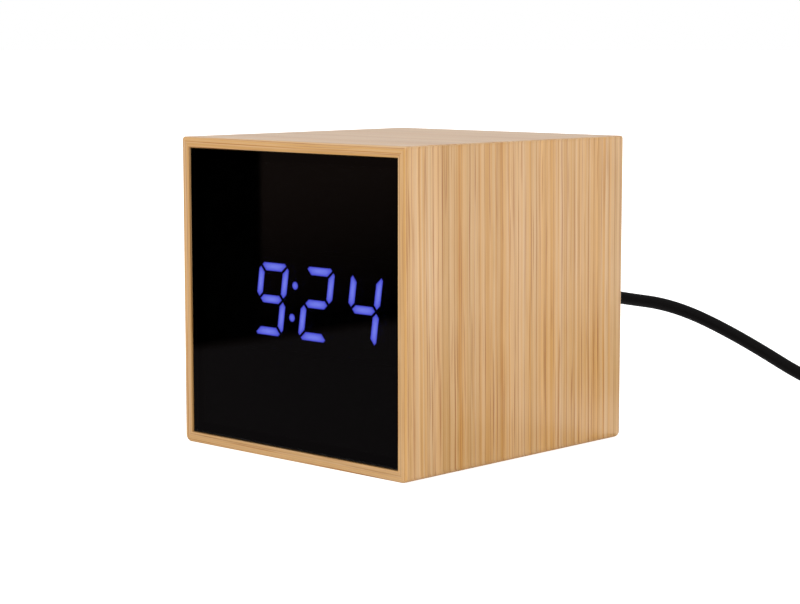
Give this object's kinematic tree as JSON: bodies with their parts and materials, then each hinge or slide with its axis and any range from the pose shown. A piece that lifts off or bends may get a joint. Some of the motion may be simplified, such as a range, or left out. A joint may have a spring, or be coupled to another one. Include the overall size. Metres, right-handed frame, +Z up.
{
  "type": "cube alarm clock",
  "caption": "Bamboo cube alarm clock with a smoked front window, glowing blue digits, rear buttons, battery door and a plug-in power cable.",
  "frame": {"origin": "centre of the cube's base, on the surface it stands on", "axes": "+Z up; -Y out of the front window; +Y out of the rear cover; +X towards the right panel as seen from the front"},
  "size_m": [0.1313, 0.129, 0.06],
  "materials": {
    "bamboo": "fine sanded laminated bamboo, clear satin oil",
    "smoked_acrylic": "polished dark smoked acrylic",
    "foam_tape": "thin black adhesive foam",
    "black_moulding": "fine spark-eroded black moulding",
    "display_body": "dark grey filled resin",
    "lit_resin": "diffusing resin lit blue from behind",
    "dark_resin": "diffusing resin, unlit",
    "circuit_board": "green lacquered laminate",
    "tinned_metal": "tinned, slightly dull",
    "chip_resin": "black moulding resin",
    "crystal_can": "drawn steel can",
    "capacitor_sleeve": "shrunk dark blue sleeve",
    "header_plastic": "natural nylon",
    "socket_plastic": "black nylon",
    "zinc_steel": "zinc plated",
    "plunger_plastic": "black acetal",
    "button_plastic": "satin black moulding",
    "cell_jacket": "printed foil jacket",
    "nickel_steel": "nickel plated spring steel",
    "black_insulation": "soft vinyl",
    "red_insulation": "soft vinyl",
    "ribbon_insulation": "grey vinyl ribbon",
    "black_rubber": "satin black jacket",
    "polished_nickel": "polished nickel plate",
    "white_nylon": "white nylon"
  },
  "bodies": {
    "clock": {"top_panel": "bamboo", "bottom_panel": "bamboo", "left_panel": "bamboo", "right_panel": "bamboo", "front_window": "smoked_acrylic", "window_tape": "foam_tape", "front_frame": "black_moulding", "display_housing": "display_body", "lit_segments": "lit_resin", "unlit_segments": "dark_resin", "display_pins": "tinned_metal", "main_board": "circuit_board", "clock_chip": "chip_resin", "quartz_crystal": "crystal_can", "capacitors": "capacitor_sleeve", "temperature_sensor": "chip_resin", "board_header": "header_plastic", "main_board_screws": "zinc_steel", "button_board": "circuit_board", "power_socket": "socket_plastic", "socket_pin": "polished_nickel", "buzzer": "chip_resin", "microphone": "crystal_can", "ribbon_socket": "header_plastic", "button_board_screws": "zinc_steel", "switch_bodies": "chip_resin", "rear_cover": "black_moulding", "rear_cover_screws": "zinc_steel", "battery_case": "black_moulding", "battery_cell_1": "cell_jacket", "battery_cell_2": "cell_jacket", "battery_cell_3": "cell_jacket", "battery_springs": "nickel_steel", "battery_contacts": "nickel_steel", "black_battery_lead": "black_insulation", "red_battery_lead": "red_insulation", "board_ribbon": "ribbon_insulation", "plug_barrel": "polished_nickel", "plug_grip": "black_rubber", "plug_relief": "black_rubber", "power_cable": "black_rubber", "cable_coil": "black_rubber", "cable_tie": "black_rubber", "usb_relief": "black_rubber", "usb_grip": "black_rubber", "usb_shell": "polished_nickel", "usb_tongue": "white_nylon"},
    "set_button_body": {"set_button": "button_plastic", "set_switch_plunger": "plunger_plastic"},
    "up_button_body": {"up_button": "button_plastic", "up_switch_plunger": "plunger_plastic"},
    "down_button_body": {"down_button": "button_plastic", "down_switch_plunger": "plunger_plastic"},
    "battery_door_body": {"battery_door": "black_moulding"}
  },
  "joints": [
    {"name": "set_press", "type": "slide", "parent": "clock", "child": "set_button_body", "axis": [0, -1, 0], "range_m": [0, 0.0005], "stiffness_N_per_m": 3200},
    {"name": "up_press", "type": "slide", "parent": "clock", "child": "up_button_body", "axis": [0, -1, 0], "range_m": [0, 0.0005], "stiffness_N_per_m": 3200},
    {"name": "down_press", "type": "slide", "parent": "clock", "child": "down_button_body", "axis": [0, -1, 0], "range_m": [0, 0.0005], "stiffness_N_per_m": 3200},
    {"name": "battery_door_swing", "type": "hinge", "parent": "clock", "child": "battery_door_body", "pos_m": [0, -0.0232, 0.0012], "axis": [-1, 0, 0], "range_deg": [0, 35]}
  ]
}
